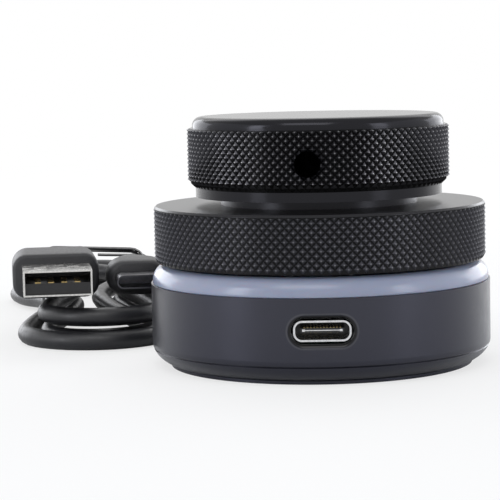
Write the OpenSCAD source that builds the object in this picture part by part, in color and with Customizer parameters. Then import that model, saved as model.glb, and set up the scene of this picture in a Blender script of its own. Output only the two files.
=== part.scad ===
// Desktop USB volume control: a press-and-turn knob over a second dial, on a lit base,
// with the detachable lead that comes with it.
// Millimetres. +Z is up, the desk is z = 0, both dials turn about x = y = 0, and the socket
// looks along -Y.

/* [Base] */
// Outer radius of the base
base_r = 28; // [27:0.25:32]
// How far the base's rounded lower edge draws in, over both the cover and the shell
base_round = 5.9; // [4:0.1:6]
// Height of that rounded edge, from the desk
base_round_h = 3.95; // [3.2:0.05:4.5]
// Thickness of the bottom cover
cover_t = 2.7; // [2.4:0.1:2.8]
// Height of the base shell, from the seam to the light ring
shell_h = 10.7; // [10.4:0.1:13]
// Thickness of the base shell's wall
shell_wall = 3; // [2:0.1:3.2]
// Thickness of the deck inside the base shell
deck_t = 2; // [1.8:0.1:2.6]
// Radius of the rubber foot pad
pad_r = 23.5; // [20:0.25:24]
// Thickness of the rubber foot pad
pad_t = 1.2; // [0.8:0.1:1.3]
// How far the foot pad stands below the bottom cover
pad_proud = 0.3; // [0.2:0.05:0.6]
// Number of screws that hold the bottom cover
cover_screw_count = 3; // [3:1:3]

/* [Light ring] */
// Height of the translucent ring
ring_h = 3.1; // [2.4:0.1:4]
// How far the ring is set back from the base shell
ring_setback = 0.25; // [0.1:0.05:1]
// How far the ring's crowned shoulder draws in to its flat top
ring_crown = 1.9; // [0.6:0.1:2.1]
// Height of the ring's upright side, below its shoulder
ring_side = 0.4; // [0.3:0.1:1]
// Bore of the ring, as a radius
ring_bore_r = 17.5; // [17.3:0.1:18]
// Number of lights under the ring
led_count = 12; // [6:6:12]

/* [Lower dial] */
// How far the points of the dial's knurl are set back from the light ring
dial_setback = 0.4; // [0.1:0.05:1]
// Height of the lower dial, from its open underside to its top face
dial_h = 9.2; // [8.6:0.1:11]
// Air gap between the light ring and the lower dial
dial_gap = 0.4; // [0.3:0.1:1]
// Chamfer round the dial's top face, across
dial_chamfer = 0.3; // [0.2:0.05:0.6]
// Thickness of the dial's rim, behind the knurl
dial_rim = 2.6; // [2.2:0.1:4]
// Thickness of the dial's top plate
dial_plate = 3.4; // [2.5:0.1:4]
// Depth of the dial's knurl
dial_knurl_depth = 0.4; // [0.2:0.05:0.5]

/* [Volume knob] */
// Radius over the points of the knob's knurl
knob_r = 21.6; // [21.3:0.1:24]
// Radius of the polished cap above the knurl
cap_r = 20.7; // [19.5:0.1:21]
// Height of the polished cap
cap_h = 1.85; // [1.6:0.05:4]
// Radius that rounds the cap's edge
cap_round = 1.5; // [0.5:0.1:1.6]
// Radius of the plain skirt below the knurl
skirt_r = 20.3; // [19:0.1:20.5]
// Height of the plain skirt
skirt_h = 1.55; // [1.1:0.05:2.5]
// Height of the knurled band
knob_knurl_h = 9.7; // [8:0.1:12]
// Depth of the knob's knurl
knob_knurl_depth = 0.5; // [0.3:0.05:0.6]
// Gap between the dial's top face and the skirt
knob_gap = 1.4; // [1.2:0.1:2.5]
// How far the knob travels when it is pressed
press_travel = 0.5; // [0.3:0.05:0.6]
// Diameter of the hole and of the grub screw
grub_d = 4; // [3:0.5:5]
// Length of the grub screw
grub_l = 6; // [4:1:8]
// Angle of the grub screw's hole from the front, to the left
grub_angle = 5; // [0:0.5:30]

/* [Knurl] */
// Pitch of the diamonds round both dials
knurl_pitch = 1.405; // [1.35:0.01:2]

/* [Neck] */
// Outer radius of the collar between the two dials
neck_r = 16.2; // [13:0.1:16.6]
// Wall of the collar
neck_wall = 1.8; // [1:0.1:2.5]
// Height of the collar above the dial's top face
neck_h = 2.7; // [2:0.1:2.9]

/* [Encoder] */
// Side of the encoder's square housing
encoder_side = 13; // [12:0.5:13.5]
// Height of the encoder, from the board to the deck
encoder_h = 6.5; // [6:0.1:7]
// Radius of the threaded bushing
bushing_r = 4.5; // [4:0.25:5]
// Length of the bushing above the encoder
bushing_h = 5; // [4.6:0.1:5.2]
// Radius of the outer shaft, which the lower dial sits on
outer_shaft_r = 3; // [2.8:0.1:3.2]
// Radius of the inner shaft, which the volume knob sits on
inner_shaft_r = 1.75; // [1.5:0.05:1.9]
// Depth of the flat on the inner shaft
shaft_flat = 0.5; // [0.3:0.05:0.6]

/* [Boards] */
// Thickness of the main board
board_t = 1.6; // [1.2:0.1:1.7]
// Space between the bottom cover and the main board
board_gap = 2.4; // [2.2:0.1:2.8]
// Thickness of the light board
led_board_t = 1; // [0.8:0.1:1.2]

/* [Socket] */
// Width over the socket's metal shell
socket_w = 8.94; // [8.9:0.02:9.1]
// Height over the socket's metal shell
socket_h = 3.26; // [3.2:0.02:3.4]
// Length of the socket's metal shell
socket_l = 7.4; // [6:0.1:9]
// Thickness of the socket's metal shell
socket_t = 0.3; // [0.2:0.05:0.35]
// How far the socket's mouth is set back from the base's outside
socket_setback = 0.9; // [0.4:0.1:2]
// Radius of the corners of the socket's metal shell
socket_round = 1.35; // [1.2:0.05:1.6]
// Clear width round the socket in the base shell
window_gap = 0.3; // [0.2:0.05:0.6]
// Radius that rounds the edge of the socket's window
window_round = 0.8; // [0.3:0.05:1]

/* [Lead] */
// Diameter of the lead
lead_d = 3.3; // [2.8:0.1:3.4]
// Half the length of the hank's straight runs
run_half = 31; // [28:0.5:40]
// Thickness of the twist tie
tie_t = 0.8; // [0.5:0.1:1]
// Width of the twist tie
tie_w = 3; // [2:0.5:4]
// Width over the large plug's overmould
plug_a_w = 15.5; // [14.5:0.5:16]
// Thickness of the large plug's overmould
plug_a_t = 8; // [7:0.5:9]
// Width over the small plug's overmould
plug_c_w = 11; // [10:0.5:12]
// Thickness of the small plug's overmould
plug_c_t = 6.4; // [5.5:0.1:7]

/* [Hidden] */
$fn = 96;
slip = 0.05;         // radial clearance of what turns or slides
snug = 0.02;         // radial clearance of what is pressed, screwed or glued
through = 1;         // how far a cutting shape runs past what it cuts
seam_bevel = 0.15;   // on both edges of the seam between cover and shell
ring_undercut = 0.15; // round the foot of the light ring
dial_lip = 0.1;      // plain height above the dial's knurl, below the chamfer
dial_bevel = 0.35;   // round the lower edge of the dial
knob_bevel = 1.2;    // height of the bevel from the knob's knurl in to its skirt
grub_low = 0.4;      // how far the grub screw lies below the middle of the knurl
knurl_edge = 0.25;   // height of the plain edge above a knurl's last points
knurl_wall = 1;      // how far a knurled sleeve reaches into the solid that carries it
knurl_seat = 0.2;    // how far the solid behind the dial's knurl stays below its hollows
cap_root = 0.5;      // how far the cap reaches into the knurled band
neck_head = 0.5;     // air above the collar with the knob pressed
encoder_corner = 1.1; // cut off each corner of the encoder's housing

// Heights, from the desk up
cover_z = pad_proud;
seam_z = cover_z + cover_t;
base_seam_r = base_r - base_round
    + base_round * sqrt(1 - pow(max(0, 1 - seam_z / base_round_h), 2));
base_top = seam_z + shell_h;
deck_z = base_top - deck_t;
board_z = seam_z + board_gap;
board_top = board_z + board_t;
led_board_z = deck_z - led_board_t;
encoder_top = board_top + encoder_h;
dome_roof = 2;
dome_top = encoder_top + dome_roof;
bushing_top = encoder_top + bushing_h;
ring_top = base_top + ring_h;
dial_z = ring_top + dial_gap;
dial_top = dial_z + dial_h;
skirt_z = dial_top + knob_gap;
knob_knurl_z = skirt_z + skirt_h;
cap_z = knob_knurl_z + knob_knurl_h;
knob_top = cap_z + cap_h;
grub_z = knob_knurl_z + knob_knurl_h / 2 - grub_low;

// Screw bosses, standoffs and what has to clear them
shell_bore_r = base_r - shell_wall;
ring_r = base_r - ring_setback;
dial_r = ring_r - dial_setback;
// The ring's shoulder is an arc, upright where it starts and cut off by the flat top
shoulder_r = (pow(ring_h - ring_side, 2) + pow(ring_crown, 2)) / (2 * ring_crown);
boss_r = 2.6;
boss_at = shell_bore_r - 4;
boss_start = 90;
cover_screw_r = 1.25;
cover_screw_head_r = 2.35;
cover_screw_head = 1.2;
cover_screw_l = 6;
spigot_wall = 0.9;
spigot_h = 1;
standoff_r = 2.5;
standoff_at = 14;
standoff_start = 30;
small_screw_r = 1;
small_screw_head_r = 1.9;
small_screw_head = 1.1;
board_screw_l = 3;
led_screw_l = 1.7;
led_screw_start = 60;
notch_gap = 0.3;

// Boards
main_board_r = shell_bore_r - 0.8;
led_board_r = shell_bore_r - 0.3;
led_board_bore = standoff_at + standoff_r + 0.5;
led_at = (led_board_r + led_board_bore) / 2;
led_side = 3.5;
led_t = 1.6;
led_window = 4.2;

// Parts on the main board, placed from the encoder, the bosses and the board's edge
chip = [7, 7, 0.9];
chip_dot_r = 0.4;
chip_at = [-encoder_side / 2 - 2 - chip.x / 2, -2.5];
crystal = [3.2, 2.5, 0.8];
crystal_at = [-encoder_side / 2 - 4, -encoder_side / 2 - 3];
coil = [3, 3, 1];
coil_turn = 28;
coil_at = main_board_r - 5.7;
capacitor = [1, 1.8, 0.6];
resistor = [1.6, 0.8, 0.5];
row_pitch = 2.2;
row_start = encoder_side / 2 + 2.5;
back_row = 9.2;
back_row_y = standoff_at * sin(standoff_start) + standoff_r + 2.3;
connector = [2.6, 8];
connector_slot = [1.1, 6.4, 1];

// Dome over the encoder, and the collar that centres the light ring
dome_bore_r = encoder_side * sqrt(2) / 2 + 0.4;
dome_wall = 1.8;
collar_gap = 0.2;
collar_wall = 1.6;
collar_h = 1;

// Encoder
encoder_plate_t = 1;
shaft_foot = 2.1;    // from the board to the foot of the inner shaft
press_room = 0.08;   // what is left under the pressed plunger
plunger_disc_r = 2.6;
plunger_disc_t = 0.6;
plunger_stem_r = 1.2;
pin_r = 0.4;
pin_pitch = 2.5;
washer_t = 0.5;
nut_h = 2;
nut_flats = 11;

// Shafts, hubs and bores
hub_r = 8;
hub_gap = 0.4;
core_r = 5.5;
core_top_gap = 0.7;
outer_shaft_top = dial_top - 0.9;
inner_shaft_top = cap_z - 1;
bore_end_gap = 0.3;
shaft_flat_z = skirt_z + 1.6;
neck_room = 0.5;
knob_boss_r = 6.5;
grub_socket = 2;     // across the flats of its hexagon
grub_tip = inner_shaft_r - shaft_flat + snug;

// Socket
socket_z = board_top + socket_h / 2;
socket_y = socket_setback - base_r;
tongue_set = 0.9;    // from the socket's mouth to the tongue's front
tongue_w = 6.7;
tongue_t = 0.7;
tongue_l = 4.5;
plate_w = 6.2;       // of the metal plate between the two rows of contacts
plate_t = 0.14;
plate_ear = [0.42, 0.5, 0.34];
contact_pitch = 0.5;
contact_w = 0.25;
contact_t = 0.06;
contact_l = 3.4;
contact_set = 1.3;   // from the socket's mouth
contact_count = 12;
socket_leg_w = 1.1;
socket_leg_l = 1;    // below the top of the board
socket_leg_at = [1, 2.9]; // from the back of the socket

// The hank lies behind the base and to its left, one end towards the viewer. Its own frame has
// +X along the runs towards the plugs, +Y to the right of them and +Z up.
hank_place = [-44.2, 58.8, 0];
hank_turn = -81.4;
hank_sides = 6;
rings_per_loop = 24;
loops = 3.5;
loop_reverse = 2.08; // the loop at which the spiral turns outward, one layer up
loop_step = 3.98;    // between neighbouring loops of a layer
loop_min = 7.6;      // half the width of the innermost loop
layer_step = 3.85;
waist_pull = 6.5;    // how far the tie draws every run in
tie_room = 0.35;     // between the tie and the leads in it
waist_lift = tie_t + tie_room;
plug_tail = 9;       // from the waist to where the lead enters each plug
plug_rest = 8;       // height of the plugs' undersides, on top of the hank
plug_a_side = -7.9;
plug_c_side = 6.8;
plug_a_relief = 6;
plug_a_body = 17;
plug_a_collar = [9, 6];
plug_a_shoulder = [12, 6, 3]; // width and height where the collar ends, and how far on it is full
plug_a_shell = [12, 12, 4.5];
plug_a_shell_t = 0.3;
plug_a_tongue_t = 1.9;
plug_a_contact = [7.4, 1, 0.15];
plug_a_contact_pitch = 2.3;
plug_a_contact_set = 1.6; // from the shell's mouth
plug_c_neck = [6.5, 5];
plug_c_relief = 5;
plug_c_body = 18;
plug_c_shell = [6.65, 8.25, 2.4];
plug_c_shell_t = 0.25;
plug_a_z = plug_rest + plug_a_t / 2;
plug_c_z = plug_rest + plug_c_t / 2;

// ---------------------------------------------------------------- shared shapes

module around(count, r, start = 0) {
    for (i = [0:count - 1])
        rotate(start + i * 360 / count) translate([r, 0, 0]) children();
}

module stadium(w, h) {
    square([w - h, h], center = true);
    for (side = [-1, 1]) translate([side * (w - h) / 2, 0]) circle(d = h);
}

module rounded(w, h, r) {
    square([w - 2 * r, h], center = true);
    square([w, h - 2 * r], center = true);
    for (x = [-1, 1]) for (y = [-1, 1]) translate([x * (w / 2 - r), y * (h / 2 - r)]) circle(r = r);
}

// Half-section of a disc of radius r and height h with a rounded upper edge
module rim_section(r, h, round) {
    square([r - round, h]);
    square([r, h - round]);
    translate([r - round, h - round]) circle(r = round);
}

// Half-section of the base from the desk up. Its lower edge is a quarter of an ellipse.
module base_section() difference() {
    union() {
        square([base_r - base_round, base_top]);
        translate([0, base_round_h]) square([base_r, base_top - base_round_h]);
        intersection() {
            translate([base_r - base_round, base_round_h]) scale([1, base_round_h / base_round])
                circle(r = base_round);
            square([base_r, base_round_h + through]);
        }
    }
    translate([base_seam_r - seam_bevel, seam_z])
        polygon([[0, 0], [through, through], [through, -through]]);
}

module stripe(z0, z1) translate([0, z0]) square([base_r + through, z1 - z0]);

module along_y(y, z) translate([0, y, z]) rotate([-90, 0, 0]) children();

// ---------------------------------------------------------------- knurl

// Corners of a knurl: rings of points, each ring a point and a hollow in turn, and every second
// ring set over by half a pitch. From foot_r the lower edge is bevelled out over the height
// bevel, with its hollows as deep as they can be outside foot_r. At the top the points are cut
// off over a narrow edge, down to the hollows.
function knurl_up(k, rows, h) = k == rows ? h : (h - knurl_edge) * k / (rows - 1);
function knurl_radius(tip, up, r, depth, foot_r, bevel) =
    let (edge = min(r, foot_r + (r - foot_r) * up / bevel))
    tip ? edge : min(r - depth, max(foot_r, edge - depth));
function knurl_points(count, rows, z, h, r, depth, foot_r, bevel) = [
    for (k = [0:rows]) for (j = [0:2 * count - 1])
        let (up = knurl_up(k, rows, h),
            tip = k < rows && (j + k) % 2 == 0,
            q = knurl_radius(tip, up, r, depth, foot_r, bevel))
        [q * cos(180 * j / count), q * sin(180 * j / count), z + up]
];

// Each cell between two rings is split along its hollow-to-hollow diagonal, which is the
// bottom of a groove, so that four cells make one four-sided point.
function knurl_faces(count, rows) = let (m = 2 * count) concat(
    [for (k = [0:rows - 1]) for (j = [0:m - 1])
        let (a = k * m + j, b = k * m + (j + 1) % m, c = b + m, d = a + m)
        each ((j + k) % 2 == 0 ? [[a, d, b], [b, d, c]] : [[a, d, c], [a, c, b]])],
    [[for (j = [0:m - 1]) j]],
    [[for (j = [m - 1:-1:0]) rows * m + j]]);

module knurl(z, h, r, depth, foot_r, bevel) {
    count = round(2 * PI * r / knurl_pitch);
    rows = 2 * round((h - knurl_edge) / knurl_pitch) + 1;
    polyhedron(knurl_points(count, rows, z, h, r, depth, foot_r, bevel),
        knurl_faces(count, rows), convexity = 4);
}

// ---------------------------------------------------------------- base

module foot_pad() color("dimgray") cylinder(r = pad_r, h = pad_t);

module bottom_cover() color("darkslategray") difference() {
    union() {
        rotate_extrude() intersection() {
            base_section();
            stripe(cover_z, seam_z);
        }
        cylinder(r = shell_bore_r - 2 * snug, h = seam_z + spigot_h);
    }
    translate([0, 0, seam_z])
        cylinder(r = shell_bore_r - 2 * snug - spigot_wall, h = spigot_h + through);
    translate([0, 0, -through]) cylinder(r = pad_r + 0.2, h = pad_t + through);
    around(cover_screw_count, boss_at, boss_start) {
        translate([0, 0, pad_t - through]) cylinder(r = cover_screw_r + 0.1, h = cover_t + 2 * through);
        translate([0, 0, pad_t - through]) cylinder(r = cover_screw_head_r + snug, h = through + snug);
        translate([0, 0, pad_t + snug])
            cylinder(r1 = cover_screw_head_r + snug, r2 = cover_screw_r + snug, h = cover_screw_head);
    }
}

// The cross in a screw's head of radius r
module cross_recess(r) for (turn = [0, 90]) rotate(turn)
    translate([-r * 0.55, -r * 0.1, -through]) cube([r * 1.1, r * 0.2, through + r * 0.26]);

module cover_screws() color("silver") around(cover_screw_count, boss_at, boss_start)
    translate([0, 0, pad_t + snug]) difference() {
        union() {
            cylinder(r1 = cover_screw_head_r, r2 = cover_screw_r, h = cover_screw_head);
            cylinder(r = cover_screw_r, h = cover_screw_l);
        }
        cross_recess(cover_screw_head_r);
    }

// Half-section of the cutter for a window's end: its bore, and a flare that leaves the edge
// round. Across is the first axis, and the second goes into the wall from its face.
module window_section(r) {
    translate([0, -through]) square([r, shell_wall + 3 * through]);
    difference() {
        translate([0, -through]) square([r + window_round, window_round + through]);
        translate([r + window_round, window_round]) circle(r = window_round);
    }
}

// The flare starts part of the way down the wall's curve, over the window's width
module socket_window() {
    w = socket_w + 2 * window_gap;
    h = socket_h + 2 * window_gap;
    bulge = base_r - sqrt(base_r * base_r - w * w / 4);
    translate([0, bulge / 3 - base_r, socket_z]) rotate([-90, 0, 0]) {
        for (side = [-1, 1]) translate([side * (w - h) / 2, 0, 0])
            rotate_extrude($fn = 48) window_section(h / 2);
        rotate([0, -90, 0]) translate([0, 0, (h - w) / 2]) linear_extrude(w - h)
            for (side = [0, 1]) rotate(-90) mirror([side, 0]) window_section(h / 2);
    }
}

module base_shell() color("darkslategray") difference() {
    union() {
        rotate_extrude() difference() {
            intersection() {
                base_section();
                stripe(seam_z, base_top);
            }
            translate([0, seam_z - through]) square([shell_bore_r, deck_z - seam_z + through]);
        }
        translate([0, 0, deck_z]) cylinder(r = dome_bore_r + dome_wall, h = dome_top - deck_z);
        translate([0, 0, deck_z])
            cylinder(r = ring_bore_r - collar_gap, h = deck_t + collar_h);
        around(cover_screw_count, boss_at, boss_start)
            translate([0, 0, seam_z]) cylinder(r = boss_r, h = deck_z - seam_z + through);
        around(3, standoff_at, standoff_start)
            translate([0, 0, board_top]) cylinder(r = standoff_r, h = deck_z - board_top + through);
    }
    // the well between the dome and the collar
    difference() {
        translate([0, 0, base_top])
            cylinder(r = ring_bore_r - collar_gap - collar_wall, h = dome_top);
        cylinder(r = dome_bore_r + dome_wall, h = dome_top + base_top);
    }
    translate([0, 0, deck_z - through]) cylinder(r = dome_bore_r, h = encoder_top - deck_z + through);
    translate([0, 0, deck_z]) cylinder(r = bushing_r + 0.1, h = dome_top);
    around(cover_screw_count, boss_at, boss_start) translate([0, 0, seam_z - through])
        cylinder(r = cover_screw_r + snug, h = cover_screw_l + through);
    around(3, standoff_at, standoff_start) translate([0, 0, board_top - through])
        cylinder(r = small_screw_r + snug, h = board_screw_l + through);
    around(3, led_at, led_screw_start) translate([0, 0, deck_z - through])
        cylinder(r = small_screw_r + snug, h = led_screw_l - led_board_t + 0.2 + through);
    around(led_count, led_at, 180 / led_count) translate([0, 0, deck_z + deck_t / 2])
        cube([led_window, led_window, deck_t + through], center = true);
    socket_window();
}

module light_ring() color("lightsteelblue", 0.8) translate([0, 0, base_top])
    rotate_extrude() difference() {
        union() {
            square([ring_r - ring_crown, ring_h]);
            square([ring_r, ring_side]);
            intersection() {
                translate([ring_r - shoulder_r, ring_side]) circle(r = shoulder_r);
                square([ring_r, ring_h]);
            }
        }
        translate([ring_r, 0]) rotate(45) square(ring_undercut * sqrt(2), center = true);
        translate([0, -through]) square([ring_bore_r, ring_h + 2 * through]);
    }

// ---------------------------------------------------------------- boards

module boss_notches(z, t) around(cover_screw_count, boss_at, boss_start)
    translate([0, 0, z - through]) cylinder(r = boss_r + notch_gap, h = t + 2 * through);

module led_board() color("darkgreen") difference() {
    translate([0, 0, led_board_z]) cylinder(r = led_board_r, h = led_board_t);
    translate([0, 0, led_board_z - through]) cylinder(r = led_board_bore, h = led_board_t + 2 * through);
    boss_notches(led_board_z, led_board_t);
    around(3, led_at, led_screw_start) translate([0, 0, led_board_z - through])
        cylinder(r = small_screw_r + 0.1, h = led_board_t + 2 * through);
}

module leds() color("white") around(led_count, led_at, 180 / led_count)
    translate([0, 0, deck_z + led_t / 2]) difference() {
        cube([led_side, led_side, led_t], center = true);
        translate([0, 0, led_t / 2 - 0.3]) cylinder(r = 1.3, h = through);
    }

module small_screw(l) difference() {
    union() {
        cylinder(r = small_screw_head_r, h = small_screw_head);
        cylinder(r = small_screw_r, h = small_screw_head + l);
    }
    cross_recess(small_screw_head_r);
}

module led_board_screws() color("silver") around(3, led_at, led_screw_start)
    translate([0, 0, led_board_z - small_screw_head]) small_screw(led_screw_l);

module board_screws() color("silver") around(3, standoff_at, standoff_start)
    translate([0, 0, board_z - small_screw_head]) small_screw(board_t + board_screw_l - 0.3);

module socket_legs(grow, z0, z1) for (x = [-1, 1]) for (y = socket_leg_at)
    translate([x * (socket_w - socket_t) / 2, socket_y + socket_l - y, (z0 + z1) / 2])
        cube([socket_t + grow, socket_leg_w + grow, z1 - z0], center = true);

module encoder_pin_places() for (x = [-1:1]) for (y = [-1, 1])
    translate([x * pin_pitch, y * (encoder_side / 2 - 0.9), 0]) children();

module main_board() color("darkgreen") difference() {
    translate([0, 0, board_z]) cylinder(r = main_board_r, h = board_t);
    boss_notches(board_z, board_t);
    around(3, standoff_at, standoff_start) translate([0, 0, board_z - through])
        cylinder(r = small_screw_r + 0.1, h = board_t + 2 * through);
    encoder_pin_places() translate([0, 0, board_z - through])
        cylinder(r = pin_r + 0.15, h = board_t + 2 * through);
    socket_legs(0.3, board_z - through, board_top + through);
}

module on_board(at, size) translate([at.x, at.y, board_top + size.z / 2]) cube(size, center = true);

module controller_chip() color("black") difference() {
    on_board(chip_at, chip);
    translate([chip_at.x - chip.x / 2 + 1, chip_at.y + chip.y / 2 - 1, board_top + chip.z - 0.1])
        cylinder(r = chip_dot_r, h = through);
}

module board_parts() color("tan") {
    on_board(crystal_at, crystal);
    for (side = [-1, 1]) rotate(side * coil_turn) on_board([0, -coil_at], coil);
    for (i = [0:3]) on_board([row_start + row_pitch * i, -row_pitch * 2], capacitor);
    for (i = [-2:2]) on_board([row_pitch * i, main_board_r - back_row], resistor);
    for (i = [0:2]) on_board([-row_start - row_pitch * i, back_row_y], capacitor);
}

module board_connector() color("ivory") difference() {
    translate([led_at - connector.x / 2, -connector.y / 2, board_top])
        cube([connector.x, connector.y, led_board_z - board_top]);
    translate([led_at - connector.x / 2 - through, -connector_slot.y / 2, board_top + connector_slot.z])
        cube([connector_slot.x + through, connector_slot.y, connector_slot.z]);
}

// ---------------------------------------------------------------- socket

module usb_socket_shell() color("silver") {
    along_y(socket_y, socket_z) linear_extrude(socket_l) difference() {
        rounded(socket_w, socket_h, socket_round);
        socket_bore(0);
    }
    socket_legs(0, board_top - socket_leg_l, socket_z);
}

module socket_bore(gap)
    rounded(socket_w - 2 * socket_t - 2 * gap, socket_h - 2 * socket_t - 2 * gap, socket_round - socket_t - gap);

module usb_socket_tongue() color("black") difference() {
    union() {
        along_y(socket_y + tongue_set, socket_z) linear_extrude(tongue_l + through)
            square([tongue_w, tongue_t], center = true);
        along_y(socket_y + tongue_set + tongue_l, socket_z)
            linear_extrude(socket_l - tongue_l - tongue_set) socket_bore(snug);
    }
    socket_plate(snug);
}

// The plate inside the tongue, whose front edge and two ears show, with room of gap round it
module socket_plate(gap) translate([0, socket_y + tongue_set, socket_z]) {
    translate([-plate_w / 2 - gap, -gap, -plate_t / 2 - gap])
        cube([plate_w + 2 * gap, tongue_l + 2 * gap, plate_t + 2 * gap]);
    for (side = [-1, 1])
        translate([side * (plate_w - plate_ear.x) / 2, plate_ear.y / 2, 0])
            cube(plate_ear + 2 * gap * [1, 1, 1], center = true);
}

module usb_socket_plate() color("silver") socket_plate(0);

module usb_socket_contacts() color("goldenrod") for (i = [0:contact_count - 1]) for (side = [-1, 1])
    translate([(i - (contact_count - 1) / 2) * contact_pitch, socket_y + contact_set + contact_l / 2,
            socket_z + side * (tongue_t + contact_t) / 2])
        cube([contact_w, contact_l, contact_t], center = true);

// ---------------------------------------------------------------- encoder

module encoder_housing() color("black") difference() {
    translate([-encoder_side / 2, -encoder_side / 2, board_top])
        cube([encoder_side, encoder_side, encoder_h - encoder_plate_t]);
    translate([0, 0, board_top - through]) cylinder(r = inner_shaft_r + 2 * slip, h = encoder_h + through);
    translate([0, 0, board_top - through])
        cylinder(r = plunger_disc_r + slip, h = shaft_foot - 0.3 + through);
    for (turn = [0:90:270]) rotate(turn + 45)
        translate([encoder_side / sqrt(2) - encoder_corner, -encoder_side / 2, board_top - through])
            cube([encoder_side, encoder_side, encoder_h]);
}

module encoder_bushing() color("silver") difference() {
    union() {
        translate([-encoder_side / 2, -encoder_side / 2, encoder_top - encoder_plate_t])
            cube([encoder_side, encoder_side, encoder_plate_t]);
        translate([0, 0, encoder_top - encoder_plate_t])
            cylinder(r = bushing_r, h = bushing_h + encoder_plate_t);
    }
    translate([0, 0, encoder_top - 0.1]) cylinder(r = outer_shaft_r + slip, h = bushing_h + through);
    translate([0, 0, board_top]) cylinder(r = inner_shaft_r + 2 * slip, h = encoder_h + bushing_h);
}

module encoder_pins() color("silver") encoder_pin_places()
    translate([0, 0, board_z - 0.7]) cylinder(r = pin_r, h = board_t + 0.7);

module bushing_washer() color("silver") translate([0, 0, dome_top]) difference() {
    cylinder(r = bushing_r + 2.6, h = washer_t);
    translate([0, 0, -through]) cylinder(r = bushing_r + 0.1, h = washer_t + 2 * through);
}

module bushing_nut() color("silver") translate([0, 0, dome_top + washer_t]) difference() {
    cylinder(d = nut_flats / cos(30), h = nut_h, $fn = 6);
    translate([0, 0, -through]) cylinder(r = bushing_r + snug, h = nut_h + 2 * through);
}

module outer_shaft() color("silver") difference() {
    translate([0, 0, encoder_top]) cylinder(r = outer_shaft_r, h = outer_shaft_top - encoder_top);
    cylinder(r = inner_shaft_r + slip, h = outer_shaft_top + through);
}

module switch_plunger() color("white") translate([0, 0, board_top + press_travel + press_room]) {
    cylinder(r = plunger_disc_r, h = plunger_disc_t);
    cylinder(r = plunger_stem_r, h = shaft_foot - press_travel - press_room);
}

module inner_shaft() color("silver") difference() {
    translate([0, 0, board_top + shaft_foot])
        cylinder(r = inner_shaft_r, h = inner_shaft_top - board_top - shaft_foot);
    rotate(-grub_angle) translate([-inner_shaft_r - through, -inner_shaft_r - through, shaft_flat_z])
        cube([2 * inner_shaft_r + 2 * through, shaft_flat + through, inner_shaft_top]);
}

// ---------------------------------------------------------------- lower dial

dial_valley = dial_r - dial_knurl_depth;
dial_lip_z = dial_top - dial_chamfer - dial_lip;

module lower_dial() color("slategray") union() {
    difference() {
        knurl(dial_z, dial_lip_z + dial_lip - dial_z, dial_r, dial_knurl_depth, dial_valley, dial_bevel);
        translate([0, 0, dial_z - through])
            cylinder(r = dial_valley - knurl_wall, h = dial_h + 2 * through);
    }
    difference() {
        rotate_extrude() {
            translate([0, dial_z]) square([dial_valley - knurl_seat, dial_h - dial_chamfer]);
            polygon([[0, dial_lip_z], [dial_r - dial_lip, dial_lip_z],
                [dial_r - dial_lip, dial_top - dial_chamfer],
                [dial_r - dial_lip - dial_chamfer, dial_top], [0, dial_top]]);
            translate([0, dial_top - through]) square([neck_r, neck_h + through]);
        }
        // open underside, round the hub
        difference() {
            translate([0, 0, dial_z - through])
                cylinder(r = dial_valley - dial_rim, h = dial_h - dial_plate + through);
            translate([0, 0, bushing_top + hub_gap]) cylinder(r = hub_r, h = dial_h);
        }
        translate([0, 0, dial_top]) cylinder(r = neck_r - neck_wall, h = neck_h + through);
        translate([0, 0, dial_z]) cylinder(r = core_r, h = dial_top - core_top_gap - dial_z);
        translate([0, 0, dial_z]) cylinder(r = outer_shaft_r + 0.3, h = dial_h + through);
    }
}

module dial_core() color("goldenrod") difference() {
    translate([0, 0, bushing_top + hub_gap])
        cylinder(r = core_r - snug, h = dial_top - core_top_gap - bushing_top - hub_gap);
    translate([0, 0, dial_z]) cylinder(r = outer_shaft_r + snug, h = dial_h);
}

// ---------------------------------------------------------------- volume knob

module grub_hole(r) rotate(-grub_angle) along_y(-knob_r - through, grub_z)
    cylinder(r = r, h = knob_r + through);

module volume_knob() color("dimgray") union() {
    difference() {
        knurl(knob_knurl_z, knob_knurl_h, knob_r, knob_knurl_depth, skirt_r + slip, knob_bevel);
        translate([0, 0, skirt_z]) cylinder(r = skirt_r - knurl_wall, h = knob_top);
        grub_hole(grub_d / 2);
    }
    difference() {
        rotate_extrude() {
            translate([0, skirt_z]) square([skirt_r, knob_knurl_h + skirt_h]);
            translate([0, cap_z - cap_root]) rim_section(cap_r, cap_h + cap_root, cap_round);
        }
        // recess that takes the dial's collar, round the boss
        difference() {
            translate([0, 0, skirt_z - through])
                cylinder(r = neck_r + neck_room, h = neck_h - knob_gap + press_travel + neck_head + through);
            translate([0, 0, skirt_z - through]) cylinder(r = knob_boss_r, h = knob_top);
        }
        translate([0, 0, skirt_z - through])
            cylinder(r = inner_shaft_r + snug, h = inner_shaft_top + bore_end_gap - skirt_z + through);
        grub_hole(grub_d / 2);
    }
}

module grub_screw() color("black") rotate(-grub_angle)
    along_y(-grub_tip - grub_l, grub_z) difference() {
        cylinder(r = grub_d / 2 - snug, h = grub_l);
        translate([0, 0, -through]) cylinder(d = grub_socket / cos(30), h = through + 2.2, $fn = 6);
    }

// ---------------------------------------------------------------- lead

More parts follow.
